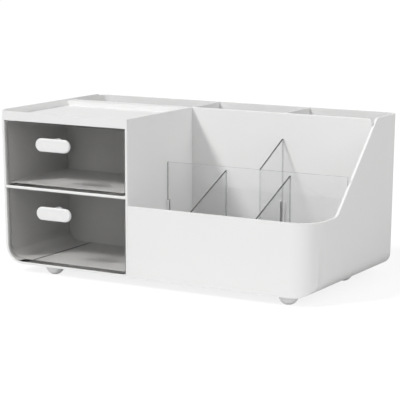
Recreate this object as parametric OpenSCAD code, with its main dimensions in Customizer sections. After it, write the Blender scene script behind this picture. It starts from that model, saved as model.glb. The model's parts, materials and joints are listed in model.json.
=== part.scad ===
// Makeup organizer: a white moulded tub with a tower of two see-through drawers on the left,
// an open bin with lift-out clear dividers on the right and a row of three tall cells at the back.
// Millimetres. X to the right, Y to the back, Z up. The origin is on the standing plane,
// under the middle of the whole object. Inside place() sizes count from the shell's front left corner,
// at the underside of its floor.

/* [Shell] */
// Width across the tops of the side walls
body_w = 330; // [315:1:360]
// Depth from the front face to the back face
body_d = 172; // [168:1:195]
// Height from the underside of the floor to the top rim
body_h = 145; // [142:1:165]
// Thickness of the moulded walls
wall = 2.4; // [2:0.1:3]
// Thickness of the floor
floor_t = 1.8; // [1.6:0.1:3]
// How far each side wall leans in at its foot
side_lean = 2.6; // [1:0.1:5]
// Outer radius where the side walls turn into the floor
bottom_r = 18; // [14:1:26]
// Outer radius of the upright corner at the front right
corner_r = 24; // [14:1:30]
// Outer radius of the upright corners at the back
back_r = 10; // [6:1:14]
// How far the left wall's top stands over the other rims
left_rise = 1.4; // [0.8:0.1:3]
// How far that raised rim is set in from the wall's faces
rim_in = 0.2; // [0.1:0.05:0.5]

/* [Open bin] */
// Height of the bin's front rim
bin_h = 66; // [60:1:74]
// Distance from the front face to the foot of the right wall's slope
slope_y = 45; // [40:1:50]
// Steepness of the slope, in degrees
slope_deg = 45; // [42:1:52]
// Radius that blends the rim into the slope
slope_foot_r = 14; // [6:1:20]
// Radius that blends the slope into the top rim
slope_head_r = 6; // [3:1:10]

/* [Drawer tower] */
// Width from the left face to the outer face of the tower wall
tower_w = 140; // [130:1:150]
// Height of the shelf's underside
shelf_z = 72; // [66:1:76]
// Thickness of the shelf
shelf_t = 2.4; // [1.8:0.1:3]
// Depth of the grooves that hold the shelf's sides
shelf_groove = 1; // [0.6:0.1:1.4]
// Thickness of the tray's floor
tray_t = 3.8; // [2.4:0.1:5]
// Height of the tray's rim above its floor
tray_rim = 4.8; // [4.4:0.1:7]
// Radius of the tray's corners
tray_r = 4; // [2:0.5:8]
// Depth of the flat ledge behind the tray
tray_ledge = 13; // [8:1:20]
// Height of the lips that locate the tray between the walls
tray_lip_h = 1.8; // [1:0.1:3]
// Thickness of those lips
tray_lip_t = 1.6; // [1:0.1:2.4]
// Distance from the front face to the lips
tray_lip_y = 6; // [4:1:20]

/* [Back row] */
// Depth of the row, from its front wall's face to the back face
row_d = 56; // [48:1:60]
// Distance from the left face to the middle of the right row divider
row_split = 238; // [215:1:255]
// Radius of the row wall's top right corner
row_corner_r = 4; // [3:1:12]

/* [Drawers] */
// Depth of a drawer
drawer_d = 101; // [92:1:108]
// Thickness of a drawer's walls
drawer_wall = 1.8; // [1.4:0.1:2.4]
// Thickness of a drawer's floor
drawer_floor = 2.5; // [1.6:0.1:3.2]
// Distance from the left face to the low bead along the lower drawer's floor
bead_x = 33; // [30:1:45]
// Width of the bead
bead_w = 1.2; // [0.8:0.1:2]
// Height of the bead
bead_h = 1; // [0.6:0.1:1.6]
// Running gap at a drawer's sides
drawer_side_gap = 0.5; // [0.4:0.1:0.8]
// Running gap under a drawer
drawer_under_gap = 0.3; // [0.2:0.1:0.6]
// Gap over a drawer
drawer_head_gap = 0.6; // [0.4:0.1:1.5]
// How far a drawer's front stands back from the front face
drawer_setback = 0.5; // [0.2:0.1:1]
// Radius of a drawer's lower edges, other than the one that follows the shell
drawer_r = 3; // [2.6:0.1:8]
// Gap between a closed drawer and its stop ribs
stop_gap = 0.3; // [0.2:0.1:0.6]
// Width of a stop rib
stop_w = 3; // [2:0.5:5]
// Height of a stop rib
stop_h = 30; // [15:1:40]
// Distance from each side of the drawer bay to its stop rib's middle
stop_in = 10; // [6:1:60]

/* [Pulls] */
// Length of a pull
pull_w = 38; // [32:0.5:48]
// Height of a pull
pull_h = 12.5; // [11:0.5:15]
// Thickness of a pull's plate
pull_t = 3.5; // [3:0.5:5]
// Radius of the plate's edges
pull_edge_r = 1.3; // [0.5:0.1:1.4]
// Gap between the plate and the drawer's front
pull_gap = 3; // [2:0.5:5]
// Diameter of the neck that spans the gap
neck_d = 10; // [8:0.1:10.8]
// Distance from the left face to the pulls' middle
pull_x = 61.5; // [50:0.5:75]
// Distance from the shelf or the tray over a drawer down to its pull's middle
pull_drop = 20; // [16:1:24]
// Diameter of the post that goes through the drawer's front
post_d = 6; // [5:0.1:7]
// Gap round the post
post_gap = 0.15; // [0.1:0.05:0.3]
// Diameter of the disc behind the drawer's front
disc_d = 12; // [9:0.1:16]
// Thickness of the disc
disc_t = 2.6; // [2:0.1:4]
// Depth of the disc's socket for the post
disc_socket = 1.2; // [0.8:0.1:1.4]
// Diameter of the screw's shank
screw_d = 2.6; // [2:0.1:3]
// Gap round the screw's shank
screw_gap = 0.1; // [0.05:0.05:0.2]
// Length of the screw under its head
screw_l = 7.5; // [6:0.5:8]
// Diameter of the screw's head
screw_head_d = 5.4; // [4.5:0.1:6]
// Height of the screw's head
screw_head_h = 1.8; // [1.2:0.1:2.4]

/* [Dividers] */
// Thickness of the clear dividers
divider_t = 1.8; // [1.4:0.1:2.4]
// Gap between a divider and what it stands on or in
divider_gap = 0.3; // [0.2:0.05:0.5]
// Distance from the front face to the middle of the long divider
long_y = 70; // [62:1:76]
// Height of the long divider's top
long_top = 98; // [86:1:108]
// Distance from the tower wall to the middle of the left front divider
front_left_x = 64; // [50:1:74]
// Distance from the tower wall to the middle of the right front divider
front_right_x = 130; // [112:1:140]
// Distance from the tower wall to the middle of the rear divider
rear_x = 98; // [80:1:120]
// Height of the front dividers' tops at the front wall
front_low = 65; // [52:1:72]
// Height of the front dividers' tops at the long divider
front_high = 95; // [82:1:104]
// Height of the rear divider's top at the long divider
rear_low = 98; // [86:1:108]
// Height of the rear divider's top at the row wall
rear_high = 121; // [110:1:130]
// Width of a guide rib
rib_w = 1.6; // [1.2:0.1:2.4]
// How far a guide rib stands out of its wall
rib_out = 2.4; // [1.6:0.1:4]
// Height of the guide ribs' tops
rib_top = 62; // [40:1:64]
// Length of a floor rail
rail_l = 24; // [12:1:30]
// Height of a floor rail
rail_h = 3; // [2:0.5:5]
// Distance from the long divider to the floor rails
rail_away = 6; // [4:1:10]

/* [Feet] */
// Radius of a foot's dome
foot_r = 9; // [8.7:0.1:10]
// Height of a foot
foot_h = 8.4; // [6:0.1:8.6]
// Distance from the left face to the left feet's middles
foot_left_x = 50; // [34:1:70]
// Distance from the right face to the right feet's middles
foot_right_x = 32; // [31:1:70]
// Distance from the front face to the front feet's middles
foot_front_y = 13; // [10:1:30]
// Distance from the back face to the back feet's middles
foot_back_y = 48; // [14:1:62]

/* [Hidden] */
$fn = 64;
// Overshoot of a cut past the faces that it opens
over = 1;
// Angle at which a rounding arc crosses the lines that it blends, so that they cut each other cleanly
blend_deg = 3;
// How far a cut that rounds a corner reaches past it, as a factor
past = 1.2;
// Lean of a side wall: sideways travel for each millimetre of height, and its angle
lean = side_lean / body_h;
lean_deg = atan(lean);
// Heights of the tray, of the drawers and of their pulls
tray_z = body_h - tray_rim - tray_t;
lower_z0 = floor_t + drawer_under_gap;
lower_z1 = shelf_z - drawer_head_gap;
upper_z0 = shelf_z + shelf_t + drawer_under_gap;
upper_z1 = tray_z - tray_lip_h - drawer_head_gap;
lower_pull_z = shelf_z - pull_drop;
upper_pull_z = tray_z - pull_drop;
// Left face of the tower wall, front face of the row wall and inner radius of the shell's lower edges
bay_right = tower_w - wall;
row_y = body_d - row_d;
inner_r = bottom_r - wall;
// Radius at the ends of the raised left rim, somewhat under its height
rim_end_r = left_rise * 0.8;
// How far the pulls stand out of the shell's front face
pull_proud = pull_gap + pull_t - drawer_setback;
// Post that runs through the drawer's front into the disc, and the screw's bore in it
post_l = drawer_wall + disc_socket;
screw_bore_d = screw_d + 2 * screw_gap;
// Offset from a divider's middle to the middle of the ribs beside it
rib_off = divider_t / 2 + divider_gap + rib_w / 2;
// Depth of the stop ribs between a closed drawer and the row wall
stop_d = row_y - drawer_setback - drawer_d - stop_gap;

// Moves from the shell's corner to the object's own origin
module place() {
    translate([-body_w / 2, (pull_proud - body_d) / 2, foot_h]) children();
}

// Extrudes an upright outline, drawn as (x, z), from y0 to y1
module along_y(y0, y1) {
    translate([0, y1, 0]) rotate([90, 0, 0]) linear_extrude(y1 - y0) children();
}

// Extrudes an upright outline, drawn as (y, z), from x0 to x1
module along_x(x0, x1) {
    translate([x0, 0, 0]) rotate([90, 0, 90]) linear_extrude(x1 - x0) children();
}

function flat(v) = [v.x, v.y];
function unit(v) = v / norm(v);

// Corners of an outline, each with the one before and the one after it
function triples(c) = [for (i = [0:len(c) - 1]) [c[(i + len(c) - 1) % len(c)], c[i], c[(i + 1) % len(c)]]];
function turns_left(t) = cross(flat(t[1] - t[0]), flat(t[2] - t[1])) > 0;

// Piece between a corner and the arc that rounds it
module corner_piece(triple) {
    tip = flat(triple[1]);
    r = triple[1].z;
    back = unit(flat(triple[0]) - tip);
    on = unit(flat(triple[2]) - tip);
    half = acos(back * on) / 2;
    reach = r / tan(half);
    centre = tip + r / sin(half) * unit(back + on);
    difference() {
        polygon([for (p = [centre, tip + reach * back, tip, tip + reach * on]) centre + past * (p - centre)]);
        translate(centre) circle(r / cos(blend_deg));
    }
}

// Outline with rounded corners, each given as [x, y, radius], listed anticlockwise
module rounded(corners) {
    round_ones = [for (t = triples(corners)) if (t[1].z > 0) t];
    difference() {
        union() {
            polygon([for (c = corners) flat(c)]);
            for (t = round_ones) if (!turns_left(t)) corner_piece(t);
        }
        for (t = round_ones) if (turns_left(t)) corner_piece(t);
    }
}

// Place at height z of a face that is set in from the left wall's outer face
function left_x(side_in, z) = side_in + side_lean - lean * z;

// Cross-section of the tub, drawn as (x, z): leaning sides set in by side_in, a floor at height z0,
// a radius r where they meet and a radius at the top right
module section(side_in, z0, r, z1, top_r = 0) {
    top = left_x(side_in, z1);
    low = left_x(side_in, z0);
    rounded([[top, z1, 0], [low, z0, r], [body_w - low, z0, r], [body_w - top, z1, top_r]]);
}

// Outline between the left wall and an upright side at x = right, drawn as (x, z)
module left_part(side_in, z0, r, z1, right, right_r = 0) {
    rounded([
        [left_x(side_in, z1), z1, 0], [left_x(side_in, z0), z0, r], [right, z0, right_r], [right, z1, 0]
    ]);
}

// What the upright front right corner loses to a radius outer_r, on faces set in by inset
module corner_loss(inset, outer_r) {
    r = outer_r - inset;
    translate([body_w - left_x(inset, 0) - r / cos(lean_deg), inset + r, 0]) rotate([0, lean_deg, 0])
        difference() {
            translate([0, -2 * r, -body_h]) cube([2 * r, 2 * r, 3 * body_h]);
            translate([0, 0, -2 * body_h]) cylinder(r = r / cos(blend_deg), h = 5 * body_h);
        }
}

// What the tub's rounded upright corners lose, on faces set in by inset
module corners_loss(inset) {
    corner_loss(inset, corner_r);
    translate([0, body_d, 0]) mirror([0, 1, 0]) {
        corner_loss(inset, back_r);
        translate([body_w, 0, 0]) mirror([1, 0, 0]) corner_loss(inset, back_r);
    }
}

// Outer form of the tub before it is hollowed
module shell_block() {
    difference() {
        along_y(0, body_d) section(0, 0, bottom_r, body_h);
        corners_loss(0);
    }
}

// Hollow of the tub: behind the bin's front wall, and open to the front in the tower
module shell_hollow() {
    difference() {
        along_y(wall, body_d - wall) section(wall, floor_t, inner_r, body_h + over);
        corners_loss(wall);
    }
    along_y(-over, wall + over) left_part(wall, floor_t, inner_r, body_h + over, tower_w);
}

// Space over the bin's rim and the right wall's slope, drawn as (y, z)
module rim_outline() {
    head_y = slope_y + (body_h - bin_h) / tan(slope_deg);
    top = body_h + over;
    rounded([
        [-over, bin_h, 0], [slope_y, bin_h, slope_foot_r], [head_y, body_h, slope_head_r],
        [head_y + 2 * slope_head_r, body_h, 0], [head_y + 2 * slope_head_r, top, 0], [-over, top, 0]
    ]);
}

// Raised rim on the left wall from y0 to y1, with its top ends rounded where r0 and r1 say so
module left_rim(y0, y1, r0, r1) {
    low = body_h - over;
    top = body_h + left_rise;
    along_x(rim_in, wall - rim_in) rounded([[y0, low, 0], [y1, low, 0], [y1, top, r1], [y0, top, r0]]);
}

// Pair of guide ribs round a divider's edge, made by repeating one rib on both sides along a direction
module rib_pair(direction) {
    for (s = [-1, 1]) translate(s * rib_off * direction) children();
}

// Ribs of the shell: on the front wall, on the right wall and short rails on the floor
module shell_ribs() {
    for (x = [front_left_x, front_right_x]) {
        rib_pair([1, 0, 0]) translate([tower_w + x - rib_w / 2, wall / 2, floor_t / 2])
            cube([rib_w, wall / 2 + rib_out, rib_top - floor_t / 2]);
        floor_rail(x, long_y - rail_away - rail_l);
    }
    floor_rail(rear_x, long_y + rail_away);
    rib_pair([0, 1, 0]) along_y(long_y - rib_w / 2, long_y + rib_w / 2) difference() {
        section(wall / 2, floor_t / 2, bottom_r - wall / 2, rib_top);
        section(wall + rib_out, floor_t, inner_r, rib_top + over);
        square([body_w / 2, rib_top + over]);
    }
}

// Pair of low rails on the floor, for the inner end of a short divider at x from the tower wall
module floor_rail(x, y) {
    rib_pair([1, 0, 0]) translate([tower_w + x - rib_w / 2, y, floor_t / 2])
        cube([rib_w, rail_l, floor_t / 2 + rail_h]);
}

// Space of the shelf, which also cuts its grooves
module shelf_slab() {
    left = left_x(wall - shelf_groove, shelf_z + shelf_t / 2);
    translate([left, 0, shelf_z]) cube([bay_right + shelf_groove - left, row_y, shelf_t]);
}

module body_shell() {
    color("whitesmoke") place() difference() {
        union() {
            difference() {
                shell_block();
                shell_hollow();
            }
            shell_ribs();
            left_rim(row_y - over, body_d - back_r, 0, rim_end_r);
        }
        along_x(tower_w, body_w + over) rim_outline();
        translate([-over, -over, tray_z]) cube([tower_w + over, row_y + over, body_h]);
        shelf_slab();
    }
}

module tower_wall() {
    color("whitesmoke") place() {
        difference() {
            translate([bay_right, 0, floor_t]) cube([wall, row_y, tray_z - floor_t]);
            shelf_slab();
        }
        rib_pair([0, 1, 0]) translate([tower_w - wall / 2, long_y - rib_w / 2, floor_t])
            cube([wall / 2 + rib_out, rib_w, rib_top - floor_t]);
    }
}

module drawer_shelf() {
    color("white") place() shelf_slab();
}

// Tray with a rounded recess, and behind it a flat ledge that is hollow from below
module top_tray() {
    lip_l = row_y - tray_lip_y;
    lip_left = left_x(wall + drawer_side_gap, tray_z - tray_lip_h);
    ledge_y = row_y - tray_ledge;
    pocket_in = 3 * wall;
    color("white") place() {
        difference() {
            translate([0, 0, tray_z]) cube([tower_w, row_y, tray_t + tray_rim]);
            translate([0, 0, tray_z + tray_t]) linear_extrude(tray_rim + over) rounded([
                [wall, wall, tray_r], [bay_right, wall, tray_r],
                [bay_right, ledge_y, tray_r], [wall, ledge_y, tray_r]
            ]);
            translate([pocket_in, ledge_y + wall, tray_z - over])
                cube([tower_w - 2 * pocket_in, tray_ledge - 2 * wall, tray_rim + over]);
        }
        for (x = [lip_left, bay_right - drawer_side_gap - tray_lip_t])
            translate([x, tray_lip_y, tray_z - tray_lip_h])
                cube([tray_lip_t, lip_l, tray_lip_h + tray_t / 2]);
        left_rim(rim_in, row_y, rim_end_r, 0);
    }
}

// Wall of the back row with its rounded top corner, guide ribs for the rear divider and drawer stops
module row_wall() {
    color("whitesmoke") place() {
        along_y(row_y, row_y + wall) section(wall, floor_t, inner_r, body_h, row_corner_r);
        rib_pair([1, 0, 0]) translate([tower_w + rear_x - rib_w / 2, row_y - rib_out, floor_t])
            cube([rib_w, rib_out + wall / 2, rib_top - floor_t]);
        for (x = [wall + stop_in, bay_right - stop_in], z = [lower_z0 + lower_z1, upper_z0 + upper_z1])
            translate([x - stop_w / 2, row_y - stop_d, (z - stop_h) / 2])
                cube([stop_w, stop_d + wall / 2, stop_h]);
    }
}

// Upright divider of the back row, with its left face at x
module row_divider(x) {
    color("whitesmoke") place() translate([x, row_y + wall, floor_t])
        cube([wall, row_d - 2 * wall, body_h - floor_t]);
}

module row_divider_left() {
    row_divider(bay_right);
}

module row_divider_right() {
    row_divider(row_split - wall / 2);
}

// Space of a drawer from y0 to y1, set in by inset from the drawer's outer faces, with a radius r at its
// lower left edge
module drawer_block(y0, y1, inset, z0, z1, r) {
    side = drawer_side_gap + inset;
    along_y(y0, y1) left_part(wall + side, z0, r, z1, bay_right - side, drawer_r - inset);
}

// Open-topped drawer between the heights z0 and z1
module drawer(z0, z1, r, pull_z) {
    front = drawer_setback;
    back = front + drawer_d;
    color("dimgray", 0.6) place() difference() {
        drawer_block(front, back, 0, z0, z1, r);
        drawer_block(front + drawer_wall, back - drawer_wall, drawer_wall, z0 + drawer_floor, z1 + over,
            r - drawer_wall);
        at_pull(pull_z) translate([0, -over, 0]) rod(post_d + 2 * post_gap, drawer_wall + 2 * over);
    }
}

module upper_drawer() {
    drawer(upper_z0, upper_z1, drawer_r, upper_pull_z);
}

// Drawer that follows the shell's lower edge, with a bead between its flat floor and the rounded side
module lower_drawer() {
    drawer(lower_z0, lower_z1, inner_r - drawer_side_gap, lower_pull_z);
    color("dimgray", 0.6) place()
        translate([bead_x - bead_w / 2, drawer_setback + drawer_wall / 2, lower_z0 + drawer_floor / 2])
            cube([bead_w, drawer_d - drawer_wall, drawer_floor / 2 + bead_h]);
}

// Moves to where a pull's middle meets the face of its drawer
module at_pull(z) {
    translate([pull_x, drawer_setback, z]) children();
}

// Round bar from y = 0 towards the back
module rod(d, l) {
    rotate([-90, 0, 0]) cylinder(d = d, h = l);
}

// Pill-shaped plate, pull_t thick, with its back at y = 0
module pull_plate() {
    r = pull_h / 2;
    half_l = pull_w / 2 - r;
    e = pull_edge_r;
    along_x(-half_l, half_l) rounded([[-pull_t, -r, e], [0, -r, e], [0, r, e], [-pull_t, r, e]]);
    for (x = [-half_l, half_l]) translate([x, 0, 0]) rotate([90, 0, 0]) rotate_extrude()
        rounded([[0, 0, 0], [r, 0, e], [r, pull_t, e], [0, pull_t, 0]]);
}

// Pull at height z: its plate, a neck that stands on the drawer's front and a post that goes through it
module pull(z) {
    color("white") place() at_pull(z) difference() {
        union() {
            translate([0, -pull_gap, 0]) pull_plate();
            translate([0, -pull_gap - pull_t / 2, 0]) rod(neck_d, pull_gap + pull_t / 2);
            translate([0, -pull_gap, 0]) rod(post_d, pull_gap + post_l);
        }
        translate([0, drawer_wall + disc_t - screw_l - over, 0]) rod(screw_bore_d, screw_l + 2 * over);
    }
}

// Disc that clamps the drawer's front against a pull
module pull_disc(z) {
    color("white") place() at_pull(z) translate([0, drawer_wall, 0]) difference() {
        rod(disc_d, disc_t);
        translate([0, -over, 0]) rod(post_d + 2 * post_gap, disc_socket + over);
        rod(screw_bore_d, disc_t + over);
    }
}

// Pan-head screw that draws the disc onto the pull's post
module pull_screw(z) {
    color("silver") place() at_pull(z) translate([0, drawer_wall + disc_t, 0]) {
        translate([0, -screw_l, 0]) rod(screw_d, screw_l + screw_head_h / 2);
        rod(screw_head_d, screw_head_h);
    }
}

module upper_pull() {
    pull(upper_pull_z);
}

module upper_pull_disc() {
    pull_disc(upper_pull_z);
}

module upper_pull_screw() {
    pull_screw(upper_pull_z);
}

module lower_pull() {
    pull(lower_pull_z);
}

module lower_pull_disc() {
    pull_disc(lower_pull_z);
}

module lower_pull_screw() {
    pull_screw(lower_pull_z);
}

// Clear plate across the bin that follows the shell's section at its right end
module long_divider() {
    left = tower_w + divider_gap;
    color("lightcyan", 0.35) place() along_y(long_y - divider_t / 2, long_y + divider_t / 2)
        translate([body_w, 0]) mirror([1, 0]) left_part(
            wall + divider_gap, floor_t + divider_gap, inner_r - divider_gap, long_top, body_w - left
        );
}

// Clear plate across the bin's depth at x from the tower wall, with a sloping top
module short_divider(x, y0, y1, top0, top1) {
    z0 = floor_t + divider_gap;
    color("lightcyan", 0.35) place() along_x(tower_w + x - divider_t / 2, tower_w + x + divider_t / 2)
        polygon([[y0, z0], [y1, z0], [y1, top1], [y0, top0]]);
}

module front_divider(x) {
    short_divider(x, wall + divider_gap, long_y - divider_t / 2 - divider_gap, front_low, front_high);
}

module front_divider_left() {
    front_divider(front_left_x);
}

module front_divider_right() {
    front_divider(front_right_x);
}

module rear_divider() {
    short_divider(rear_x, long_y + divider_t / 2 + divider_gap, row_y - divider_gap, rear_low, rear_high);
}

// Domed foot with a flat where it stands
module foot(x, y) {
    color("gainsboro") place() translate([x, y, 0]) rotate_extrude() intersection() {
        circle(foot_r);
        translate([0, -foot_h]) square([foot_r, foot_h]);
    }
}

module foot_front_left() {
    foot(foot_left_x, foot_front_y);
}

module foot_front_right() {
    foot(body_w - foot_right_x, foot_front_y);
}

module foot_back_left() {
    foot(foot_left_x, body_d - foot_back_y);
}

module foot_back_right() {
    foot(body_w - foot_right_x, body_d - foot_back_y);
}

body_shell();
tower_wall();
drawer_shelf();
top_tray();
row_wall();
row_divider_left();
row_divider_right();
upper_drawer();
upper_pull();
upper_pull_disc();
upper_pull_screw();
lower_drawer();
lower_pull();
lower_pull_disc();
lower_pull_screw();
long_divider();
front_divider_left();
front_divider_right();
rear_divider();
foot_front_left();
foot_front_right();
foot_back_left();
foot_back_right();
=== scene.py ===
"""Looks of the makeup organizer: satin white shell, smoky see-through drawers and clear dividers."""

import json
import math

import bmesh
import bpy
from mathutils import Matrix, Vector

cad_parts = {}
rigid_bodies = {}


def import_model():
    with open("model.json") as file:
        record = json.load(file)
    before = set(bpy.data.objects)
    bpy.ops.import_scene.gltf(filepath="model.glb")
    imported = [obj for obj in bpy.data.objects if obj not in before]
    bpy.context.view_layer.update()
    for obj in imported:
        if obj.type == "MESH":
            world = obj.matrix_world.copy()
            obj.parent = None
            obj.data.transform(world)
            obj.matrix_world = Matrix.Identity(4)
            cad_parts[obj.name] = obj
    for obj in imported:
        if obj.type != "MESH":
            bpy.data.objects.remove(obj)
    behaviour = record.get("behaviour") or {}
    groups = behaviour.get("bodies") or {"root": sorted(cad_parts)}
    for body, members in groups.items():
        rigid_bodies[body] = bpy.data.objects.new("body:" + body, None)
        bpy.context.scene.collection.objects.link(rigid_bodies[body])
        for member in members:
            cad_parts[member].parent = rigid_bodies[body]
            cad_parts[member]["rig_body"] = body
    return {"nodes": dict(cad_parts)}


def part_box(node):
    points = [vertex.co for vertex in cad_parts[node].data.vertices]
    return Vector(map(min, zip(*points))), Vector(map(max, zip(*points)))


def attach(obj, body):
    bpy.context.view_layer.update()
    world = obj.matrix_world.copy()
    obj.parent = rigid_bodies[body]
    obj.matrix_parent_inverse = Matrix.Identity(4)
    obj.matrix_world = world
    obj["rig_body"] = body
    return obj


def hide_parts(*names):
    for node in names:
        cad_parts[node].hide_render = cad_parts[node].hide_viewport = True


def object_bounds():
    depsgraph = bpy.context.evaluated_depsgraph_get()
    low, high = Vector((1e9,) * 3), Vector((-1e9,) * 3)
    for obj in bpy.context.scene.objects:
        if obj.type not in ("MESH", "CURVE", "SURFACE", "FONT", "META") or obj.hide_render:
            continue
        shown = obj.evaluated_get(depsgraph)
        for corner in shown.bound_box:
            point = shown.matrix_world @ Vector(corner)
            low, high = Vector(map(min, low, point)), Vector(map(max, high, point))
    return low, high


MM = 0.001

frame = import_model()
cad_low, cad_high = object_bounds()

# Camera, in metres and degrees, with its lens in millimetres, looking from the front right and a little above
CAMERA_PLACE = Vector((0.7588, -1.2992, 0.3281))
CAMERA_AZIMUTH = 30.196
CAMERA_ELEVATION = 9.731
CAMERA_LENS = 145.75
SENSOR = 36.0
CAMERA_REACH = 100.0

# Lamps: the way that the light travels, the level that it gives a facing white card, and its spread
KEY_TRAVEL = Vector((0.40, 0.57, -0.70))
KEY_LEVEL = 0.62
KEY_SPREAD = math.radians(10)
FILL_TRAVEL = Vector((-0.86, 0.22, -0.46))
FILL_LEVEL = 0.29
FILL_SPREAD = math.radians(50)
FRONT_TRAVEL = Vector((0.10, 0.96, -0.26))
FRONT_LEVEL = 0.08
FRONT_SPREAD = math.radians(20)
SKY_LEVEL = 0.38

# Floor: half its width in metres, the share of light that it throws back at the object, and the shading and
# the glow that make it look white with a soft shadow
FLOOR_HALF = 15.0
FLOOR_BOUNCE = 0.66
FLOOR_SHADE = 0.2
FLOOR_GLOW = 0.84

# Edge rounding of the moulded pieces, and the limits by which their edges and seams are told apart
SHELL_EDGE = 0.6 * MM
DRAWER_EDGE = 0.35 * MM
DIVIDER_EDGE = 0.15 * MM
EDGE_ANGLE = math.radians(35)
FLAT_ANGLE = math.radians(0.5)
SEAM_REACH = 0.02 * MM
WELD_REACH = 0.001 * MM

# Nodes whose faces round off cleanly only when the rounding slides along the splits of flat faces
SLIDING_NODES = ("top_tray",)

# Bending of light in plastic, with a low value for the drawers' thin walls, which hardly bend the view
PLASTIC_IOR = 1.49
THIN_WALL_IOR = 1.05

# Level of the sheen on opaque plastic, the shares of light that see-through plastic reflects straight on,
# and how steeply the share rises at a glance
SATIN_SHEEN = 0.25
SMOKE_GLOSS = 0.01
CLEAR_GLOSS = 0.04
GLANCE_BLEND = 0.5
GLANCE_POWER = 5.0

# Range that noise mostly keeps to, its detail, and its scales per metre, from broad clouds to fine speckle
NOISE_LOW = 0.3
NOISE_HIGH = 0.7
NOISE_DETAIL = 3.0
CLOUD_SCALE = 18.0
CLEAR_CLOUD_SCALE = 25.0
SHEEN_SCALE = 60.0
CLEAR_SHEEN_SCALE = 80.0
STEEL_SHEEN_SCALE = 400.0
STEEL_GRAIN_SCALE = 900.0
FROST_SCALE = 1400.0

# Depth of the moulded grain, and how far colours and roughness vary with the noise
GRAIN_DEPTH = 0.05 * MM
CLEAR_CLOUD_SHARE = 0.92
STEEL_GRAIN_SHARE = 0.9
CLEAR_ROUGH_LOW = 0.7
CLEAR_ROUGH_HIGH = 1.3


# Material helpers

def new_material(name):
    """An empty node material: its tree and its output node."""
    material = bpy.data.materials.new(name)
    material.use_nodes = True
    tree = material.node_tree
    tree.nodes.clear()
    return material, tree, tree.nodes.new("ShaderNodeOutputMaterial")


def noise(tree, scale):
    """Noise in the object's own metres, as a value about 0.5."""
    place = tree.nodes.new("ShaderNodeTexCoord")
    grain = tree.nodes.new("ShaderNodeTexNoise")
    grain.inputs["Scale"].default_value = scale
    grain.inputs["Detail"].default_value = NOISE_DETAIL
    tree.links.new(place.outputs["Object"], grain.inputs["Vector"])
    return grain.outputs["Fac"]


def spread(tree, value, low, high):
    """Maps noise to the range from low to high."""
    node = tree.nodes.new("ShaderNodeMapRange")
    node.inputs["From Min"].default_value = NOISE_LOW
    node.inputs["From Max"].default_value = NOISE_HIGH
    node.inputs["To Min"].default_value = low
    node.inputs["To Max"].default_value = high
    tree.links.new(value, node.inputs["Value"])
    return node.outputs["Result"]


def tint(tree, value, dark, light):
    """Blends two colours by a value from 0 to 1."""
    node = tree.nodes.new("ShaderNodeMix")
    node.data_type = "RGBA"
    node.inputs["A"].default_value = (*dark, 1)
    node.inputs["B"].default_value = (*light, 1)
    tree.links.new(value, node.inputs["Factor"])
    return node.outputs["Result"]


def bump(tree, value, strength, depth):
    """Surface relief from a value."""
    node = tree.nodes.new("ShaderNodeBump")
    node.inputs["Strength"].default_value = strength
    node.inputs["Distance"].default_value = depth
    tree.links.new(value, node.inputs["Height"])
    return node.outputs["Normal"]


def moulded(name, dark, light, rough, grain_scale, relief):
    """Opaque moulded plastic: faint clouding, uneven gloss and a fine grain."""
    material, tree, output = new_material(name)
    skin = tree.nodes.new("ShaderNodeBsdfPrincipled")
    cloud = spread(tree, noise(tree, CLOUD_SCALE), 0.0, 1.0)
    tree.links.new(tint(tree, cloud, dark, light), skin.inputs["Base Color"])
    tree.links.new(spread(tree, noise(tree, SHEEN_SCALE), *rough), skin.inputs["Roughness"])
    tree.links.new(bump(tree, noise(tree, grain_scale), relief, GRAIN_DEPTH), skin.inputs["Normal"])
    skin.inputs["IOR"].default_value = PLASTIC_IOR
    skin.inputs["Specular IOR Level"].default_value = SATIN_SHEEN
    tree.links.new(skin.outputs["BSDF"], output.inputs["Surface"])
    return material


def gloss_share(tree, straight):
    """Share of light that plastic reflects, the same from both sides: more at a glance than straight on."""
    slant = tree.nodes.new("ShaderNodeLayerWeight")
    slant.inputs["Blend"].default_value = GLANCE_BLEND
    steep = tree.nodes.new("ShaderNodeMath")
    steep.operation = "POWER"
    steep.inputs[1].default_value = GLANCE_POWER
    tree.links.new(slant.outputs["Facing"], steep.inputs[0])
    share = tree.nodes.new("ShaderNodeMath")
    share.operation = "MULTIPLY_ADD"
    share.inputs[1].default_value = 1 - straight
    share.inputs[2].default_value = straight
    tree.links.new(steep.outputs["Value"], share.inputs[0])
    return share.outputs["Value"]


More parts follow.
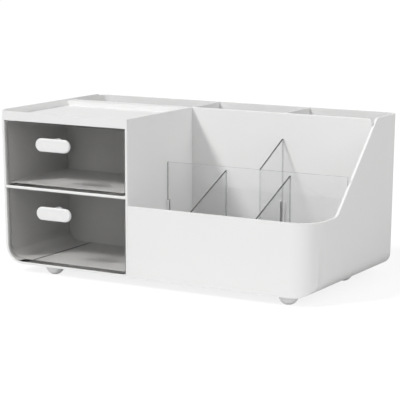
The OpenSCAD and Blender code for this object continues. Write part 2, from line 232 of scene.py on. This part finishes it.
def smoky(name, passed, rough, frost=0.0, dark=(0, 0, 0), light=(1, 1, 1)):
    """Smoke-tinted plastic that lets the lamps shine through, with a share of frost between two tones."""
    material, tree, output = new_material(name)
    glass = tree.nodes.new("ShaderNodeBsdfPrincipled")
    glass.inputs["Base Color"].default_value = (*passed, 1)
    glass.inputs["Transmission Weight"].default_value = 1.0
    glass.inputs["IOR"].default_value = THIN_WALL_IOR
    grain = spread(tree, noise(tree, CLEAR_SHEEN_SCALE), *rough)
    tree.links.new(grain, glass.inputs["Roughness"])
    clear = tree.nodes.new("ShaderNodeBsdfTransparent")
    clear.inputs["Color"].default_value = (*[math.sqrt(c) for c in passed], 1)
    path = tree.nodes.new("ShaderNodeLightPath")
    inside = tree.nodes.new("ShaderNodeMixShader")
    tree.links.new(path.outputs["Is Shadow Ray"], inside.inputs["Fac"])
    tree.links.new(glass.outputs["BSDF"], inside.inputs[1])
    tree.links.new(clear.outputs["BSDF"], inside.inputs[2])
    gloss = tree.nodes.new("ShaderNodeBsdfGlossy")
    tree.links.new(grain, gloss.inputs["Roughness"])
    skin = tree.nodes.new("ShaderNodeMixShader")
    tree.links.new(gloss_share(tree, SMOKE_GLOSS), skin.inputs["Fac"])
    tree.links.new(inside.outputs["Shader"], skin.inputs[1])
    tree.links.new(gloss.outputs["BSDF"], skin.inputs[2])
    face = skin
    if frost:
        dull = tree.nodes.new("ShaderNodeBsdfDiffuse")
        speckle = spread(tree, noise(tree, FROST_SCALE), 0.0, 1.0)
        tree.links.new(tint(tree, speckle, dark, light), dull.inputs["Color"])
        face = tree.nodes.new("ShaderNodeMixShader")
        face.inputs["Fac"].default_value = frost
        tree.links.new(skin.outputs["Shader"], face.inputs[1])
        tree.links.new(dull.outputs["BSDF"], face.inputs[2])
    tree.links.new(face.outputs["Shader"], output.inputs["Surface"])
    depth = tree.nodes.new("ShaderNodeVolumeAbsorption")
    depth.inputs["Color"].default_value = (*SMOKE_DEPTH, 1)
    depth.inputs["Density"].default_value = SMOKE_DENSITY
    tree.links.new(depth.outputs["Volume"], output.inputs["Volume"])
    return material


def see_through(name, passed, body, share, rough):
    """Thin see-through plastic: tinted, with a share of dull body colour and a glossy surface."""
    material, tree, output = new_material(name)
    clear = tree.nodes.new("ShaderNodeBsdfTransparent")
    clear.inputs["Color"].default_value = (*passed, 1)
    dull = tree.nodes.new("ShaderNodeBsdfDiffuse")
    cloud = spread(tree, noise(tree, CLEAR_CLOUD_SCALE), 0.0, 1.0)
    tree.links.new(tint(tree, cloud, [CLEAR_CLOUD_SHARE * c for c in body], body), dull.inputs["Color"])
    inside = tree.nodes.new("ShaderNodeMixShader")
    inside.inputs["Fac"].default_value = share
    tree.links.new(clear.outputs["BSDF"], inside.inputs[1])
    tree.links.new(dull.outputs["BSDF"], inside.inputs[2])
    gloss = tree.nodes.new("ShaderNodeBsdfGlossy")
    grain = spread(tree, noise(tree, CLEAR_SHEEN_SCALE), CLEAR_ROUGH_LOW * rough, CLEAR_ROUGH_HIGH * rough)
    tree.links.new(grain, gloss.inputs["Roughness"])
    skin = tree.nodes.new("ShaderNodeMixShader")
    tree.links.new(gloss_share(tree, CLEAR_GLOSS), skin.inputs["Fac"])
    tree.links.new(inside.outputs["Shader"], skin.inputs[1])
    tree.links.new(gloss.outputs["BSDF"], skin.inputs[2])
    tree.links.new(skin.outputs["Shader"], output.inputs["Surface"])
    return material


def metal(name, colour, rough):
    """Plated metal with a faint grain."""
    material, tree, output = new_material(name)
    skin = tree.nodes.new("ShaderNodeBsdfPrincipled")
    grain = spread(tree, noise(tree, STEEL_GRAIN_SCALE), 0.0, 1.0)
    shine = tint(tree, grain, [STEEL_GRAIN_SHARE * c for c in colour], colour)
    tree.links.new(shine, skin.inputs["Base Color"])
    tree.links.new(spread(tree, noise(tree, STEEL_SHEEN_SCALE), *rough), skin.inputs["Roughness"])
    skin.inputs["Metallic"].default_value = 1.0
    tree.links.new(skin.outputs["BSDF"], output.inputs["Surface"])
    return material


# Materials: two colours, roughness range, grain scale and relief for the opaque ones

WHITE = moulded("satin_white", (0.800, 0.800, 0.796), (0.812, 0.812, 0.808), (0.60, 0.70), 1800.0, 0.12)
PULL = moulded("pull_white", (0.805, 0.805, 0.800), (0.820, 0.820, 0.817), (0.24, 0.30), 1200.0, 0.05)
# The feet's pale grey is lighter than the shell's white: painted light that brightens them in the object's
# shade
FOOT_PAINTED_LIGHT = moulded("foot_grey_painted_light", (0.86, 0.86, 0.855), (0.90, 0.90, 0.895), (0.45, 0.60), 900.0, 0.10)

# Smoky ones: the light let through, roughness range, and the frost on the floors and the walls, whose tones
# hold painted light and shade
SMOKE_DEPTH = (0.10, 0.095, 0.09)
SMOKE_DENSITY = 3.0
SMOKE = smoky("smoke_plastic", (0.92, 0.915, 0.91), (0.02, 0.05))
# The floor's lighter tones are painted light, for the light that falls on a drawer's floor
FLOOR_SMOKE_PAINTED_LIGHT = smoky("smoke_plastic_floor_painted_light", (0.90, 0.895, 0.885), (0.10, 0.20), frost=0.55,
                dark=(0.76, 0.76, 0.75), light=(0.82, 0.82, 0.81))
# The walls' darker tones and lower light let through are painted shade; the smoke tint itself is real
WALL_SMOKE_PAINTED_SHADE = smoky("smoke_plastic_wall_painted_shade", (0.58, 0.575, 0.57), (0.10, 0.20), frost=0.60,
                   dark=(0.64, 0.64, 0.635), light=(0.70, 0.70, 0.695))
# Painted shade: a darker smoke on the sides of the bead, where shade falls along the step
BEAD_SMOKE_PAINTED_SHADE = smoky("smoke_plastic_bead_painted_shade", (0.45, 0.445, 0.44), (0.02, 0.05))

# Clear ones: the light let through, body colour and its share, and roughness
CLEAR = see_through("clear_plastic", (0.993, 0.995, 0.995), (0.80, 0.82, 0.82), 0.005, 0.03)
# The edge and slope ones are darker as painted shade, for the dark look that light bent in a cut edge gives
EDGE_PAINTED_SHADE = see_through("clear_plastic_edge_painted_shade", (0.66, 0.67, 0.67), (0.45, 0.46, 0.46), 0.30, 0.12)
FAINT_EDGE_PAINTED_SHADE = see_through("clear_plastic_faint_edge_painted_shade", (0.88, 0.885, 0.885), (0.70, 0.71, 0.71), 0.20, 0.12)
SLOPE_PAINTED_SHADE = see_through("clear_plastic_slope_painted_shade", (0.13, 0.13, 0.13), (0.15, 0.15, 0.15), 0.30, 0.12)

STEEL = metal("screw_steel", (0.62, 0.62, 0.62), (0.25, 0.40))


# Pieces

SEAM_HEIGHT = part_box("tower_wall")[1].z


def on_seam(edge):
    """Whether an edge lies where the tray stands on the walls, a joint that is closed."""
    return all(abs(corner.co.z - SEAM_HEIGHT) < SEAM_REACH for corner in edge.verts)


def is_blend(edge):
    """Whether two faces meet at an edge as parts of one rounded surface."""
    return FLAT_ANGLE < edge.calc_face_angle(0.0) < EDGE_ANGLE


def copied(node, name):
    """A new mesh piece with the form of a CAD node, its flat faces joined up and its open edges marked."""
    form = bmesh.new()
    form.from_mesh(frame["nodes"][node].data)
    bmesh.ops.remove_doubles(form, verts=form.verts, dist=WELD_REACH)
    bmesh.ops.dissolve_limit(form, angle_limit=FLAT_ANGLE, verts=form.verts, edges=form.edges)
    weight = form.edges.layers.float.new("bevel_weight_edge")
    for edge in form.edges:
        seam = on_seam(edge)
        edge.smooth = not seam
        edge[weight] = 1.0 if edge.calc_face_angle(0.0) > EDGE_ANGLE and not seam else 0.0
    form.faces.index_update()
    curved = {face.index for face in form.faces if any(is_blend(edge) for edge in face.edges)}
    mesh = bpy.data.meshes.new(name)
    form.to_mesh(mesh)
    form.free()
    for face in mesh.polygons:
        face.use_smooth = face.index in curved
    piece = bpy.data.objects.new(name, mesh)
    bpy.context.scene.collection.objects.link(piece)
    return piece


def body_of(node):
    """The CAD body that holds a node."""
    return frame["nodes"][node]["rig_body"]


def stand_for(piece, node):
    """Makes a piece ride and show in place of a CAD node."""
    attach(piece, body_of(node))
    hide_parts(node)


def soft_edged(node, edge, material, segments=3):
    """The node's form with its edges rounded, as it comes out of a mould."""
    piece = copied(node, node + "_moulded")
    piece.data.materials.append(material)
    rounding = piece.modifiers.new("edges", "BEVEL")
    rounding.width = edge
    rounding.segments = segments
    rounding.limit_method = "WEIGHT"
    rounding.loop_slide = node in SLIDING_NODES
    smoothing = piece.modifiers.new("shading", "WEIGHTED_NORMAL")
    smoothing.keep_sharp = True
    stand_for(piece, node)
    return piece


for node in ("body_shell", "tower_wall", "drawer_shelf", "top_tray", "row_wall",
             "row_divider_left", "row_divider_right"):
    soft_edged(node, SHELL_EDGE, WHITE)

# Shares of a drawer's height and depth in which its floor and its front lie
FLOOR_SHARE = 0.1
FRONT_SHARE = 0.05

# Shares of the normal by which faces are told apart: on a broad face along its axis, up on a drawer's floor
# and on the turn to its walls, where the floor's painted light ends, up on a divider's slope, and along an
# axis to which a face is square
FACE_SHARE = 0.9
TURN_SHARE = 0.5
SLOPE_SHARE = 0.1
SQUARE_SHARE = 0.99

# Places in a drawer's list of materials, after its clear plastic, and in a divider's
FLOOR_PAINTED_LIGHT = 1
WALL_PAINTED_SHADE = 2
BEAD_SIDE_PAINTED_SHADE = 3
PLATE_FACE = 0
PLATE_EDGE_PAINTED_SHADE = 1
PLATE_SLOPE_PAINTED_SHADE = 2


def smoky_drawer(node):
    """A drawer with a see-through front, a smoky floor made lighter with painted light, smoky walls made
    darker with painted shade, and painted shade on its bead's sides.
    """
    drawer = soft_edged(node, DRAWER_EDGE, SMOKE)
    for material in (FLOOR_SMOKE_PAINTED_LIGHT, WALL_SMOKE_PAINTED_SHADE, BEAD_SMOKE_PAINTED_SHADE):
        drawer.data.materials.append(material)
    low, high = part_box(node)
    middle = (low + high) / 2
    for face in drawer.data.polygons:
        inward = face.normal.dot(Vector((middle.x, middle.y, high.z)) - face.center) > 0
        near_floor = face.center.z < low.z + FLOOR_SHARE * (high.z - low.z)
        near_front = face.center.y < low.y + FRONT_SHARE * (high.y - low.y)
        front = near_front and abs(face.normal.y) > FACE_SHARE
        # Painted light on faces turned up in the lower half, painted shade on the bead's sides and on the
        # walls
        if inward and face.normal.z > TURN_SHARE and face.center.z < middle.z:
            face.material_index = FLOOR_PAINTED_LIGHT
        elif near_floor and abs(face.normal.x) > SQUARE_SHARE and face.center.x < middle.x:
            face.material_index = BEAD_SIDE_PAINTED_SHADE
        elif inward and not front and face.normal.z < SQUARE_SHARE:
            face.material_index = WALL_PAINTED_SHADE


for level in ("upper", "lower"):
    smoky_drawer(level + "_drawer")


def clear_plate(node, across, upright_painted_shade):
    """A clear divider whose cut edges and slopes get painted shade, darker than its faces; across is the axis
    of its thickness.
    """
    piece = soft_edged(node, DIVIDER_EDGE, CLEAR, segments=2)
    piece.data.materials.append(upright_painted_shade)
    piece.data.materials.append(SLOPE_PAINTED_SHADE)
    for face in piece.data.polygons:
        if abs(face.normal[across]) > FACE_SHARE:
            face.material_index = PLATE_FACE
        elif SLOPE_SHARE < face.normal.z < SQUARE_SHARE:
            face.material_index = PLATE_SLOPE_PAINTED_SHADE
        else:
            face.material_index = PLATE_EDGE_PAINTED_SHADE


for node, across, upright_painted_shade in (("long_divider", 1, EDGE_PAINTED_SHADE), ("front_divider_left", 0, EDGE_PAINTED_SHADE),
                                   ("front_divider_right", 0, EDGE_PAINTED_SHADE), ("rear_divider", 0, FAINT_EDGE_PAINTED_SHADE)):
    clear_plate(node, across, upright_painted_shade)


def dress(node, material):
    """Gives a CAD node that keeps its own form a new material."""
    shown = frame["nodes"][node]
    shown.data.materials.clear()
    shown.data.materials.append(material)


for level in ("upper", "lower"):
    dress(level + "_pull", PULL)
    dress(level + "_pull_disc", PULL)
    dress(level + "_pull_screw", STEEL)
for corner in ("front_left", "front_right", "back_left", "back_right"):
    dress("foot_" + corner, FOOT_PAINTED_LIGHT)


# Stage, light and camera

def seen_directly(tree):
    """1 for rays that show the background from the camera, off gloss or through clear plastic.

    A ray that left a dull surface gives 0, so that it brings the soft light instead.
    """
    path = tree.nodes.new("ShaderNodeLightPath")
    total = path.outputs["Is Camera Ray"]
    for name in ("Is Glossy Ray", "Is Transmission Ray"):
        add = tree.nodes.new("ShaderNodeMath")
        add.operation = "ADD"
        add.use_clamp = True
        tree.links.new(total, add.inputs[0])
        tree.links.new(path.outputs[name], add.inputs[1])
        total = add.outputs["Value"]
    lights_a_surface = tree.nodes.new("ShaderNodeMath")
    lights_a_surface.operation = "SUBTRACT"
    lights_a_surface.use_clamp = True
    tree.links.new(total, lights_a_surface.inputs[0])
    tree.links.new(path.outputs["Diffuse Depth"], lights_a_surface.inputs[1])
    return lights_a_surface.outputs["Value"]


def make_floor():
    """A wide pale floor that reads as white and keeps the object's soft shadow."""
    mesh = bpy.data.meshes.new("floor")
    corners = [(x * FLOOR_HALF, y * FLOOR_HALF, 0) for x, y in ((-1, -1), (1, -1), (1, 1), (-1, 1))]
    mesh.from_pydata(corners, [], [(0, 1, 2, 3)])
    floor = bpy.data.objects.new("floor", mesh)
    bpy.context.scene.collection.objects.link(floor)
    material, tree, output = new_material("pale_floor")
    bounce = tree.nodes.new("ShaderNodeBsdfDiffuse")
    bounce.inputs["Color"].default_value = (FLOOR_BOUNCE, FLOOR_BOUNCE, FLOOR_BOUNCE, 1)
    shade = tree.nodes.new("ShaderNodeBsdfDiffuse")
    shade.inputs["Color"].default_value = (FLOOR_SHADE, FLOOR_SHADE, FLOOR_SHADE, 1)
    glow = tree.nodes.new("ShaderNodeEmission")
    glow.inputs["Strength"].default_value = FLOOR_GLOW
    shown = tree.nodes.new("ShaderNodeAddShader")
    tree.links.new(shade.outputs["BSDF"], shown.inputs[0])
    tree.links.new(glow.outputs["Emission"], shown.inputs[1])
    choice = tree.nodes.new("ShaderNodeMixShader")
    tree.links.new(seen_directly(tree), choice.inputs["Fac"])
    tree.links.new(bounce.outputs["BSDF"], choice.inputs[1])
    tree.links.new(shown.outputs["Shader"], choice.inputs[2])
    tree.links.new(choice.outputs["Shader"], output.inputs["Surface"])
    mesh.materials.append(material)


def make_sky():
    """Even soft light all round, with a white background behind the object."""
    world = bpy.data.worlds.new("studio")
    bpy.context.scene.world = world
    world.use_nodes = True
    tree = world.node_tree
    tree.nodes.clear()
    output = tree.nodes.new("ShaderNodeOutputWorld")
    soft = tree.nodes.new("ShaderNodeBackground")
    soft.inputs["Strength"].default_value = SKY_LEVEL
    white = tree.nodes.new("ShaderNodeBackground")
    for light in (soft, white):
        light.inputs["Color"].default_value = (1, 1, 1, 1)
    choice = tree.nodes.new("ShaderNodeMixShader")
    tree.links.new(seen_directly(tree), choice.inputs["Fac"])
    tree.links.new(soft.outputs["Background"], choice.inputs[1])
    tree.links.new(white.outputs["Background"], choice.inputs[2])
    tree.links.new(choice.outputs["Shader"], output.inputs["Surface"])


def make_lamp(name, travel, level, spread_angle):
    """A wide far lamp that lights the floor and the object evenly."""
    lamp = bpy.data.lights.new(name, "SUN")
    lamp.energy = level * math.pi
    lamp.angle = spread_angle
    holder = bpy.data.objects.new(name, lamp)
    bpy.context.scene.collection.objects.link(holder)
    holder.location = (cad_low + cad_high) / 2 - travel
    holder.rotation_mode = "QUATERNION"
    holder.rotation_quaternion = travel.to_track_quat("-Z", "Y")


def make_camera():
    """Camera at the photograph's viewing angle."""
    lens = bpy.data.cameras.new("camera")
    lens.lens = CAMERA_LENS
    lens.sensor_width = SENSOR
    lens.clip_end = CAMERA_REACH
    camera = bpy.data.objects.new("camera", lens)
    bpy.context.scene.collection.objects.link(camera)
    azimuth, elevation = math.radians(CAMERA_AZIMUTH), math.radians(CAMERA_ELEVATION)
    back = Vector((math.sin(azimuth) * math.cos(elevation), -math.cos(azimuth) * math.cos(elevation),
                   math.sin(elevation)))
    camera.location = CAMERA_PLACE
    camera.rotation_mode = "QUATERNION"
    camera.rotation_quaternion = back.to_track_quat("Z", "Y")
    bpy.context.scene.camera = camera


make_floor()
make_sky()
make_lamp("key", KEY_TRAVEL, KEY_LEVEL, KEY_SPREAD)
make_lamp("fill", FILL_TRAVEL, FILL_LEVEL, FILL_SPREAD)
make_lamp("front", FRONT_TRAVEL, FRONT_LEVEL, FRONT_SPREAD)
make_camera()
bpy.context.scene.view_settings.view_transform = "Standard"

bpy.context.view_layer.update()
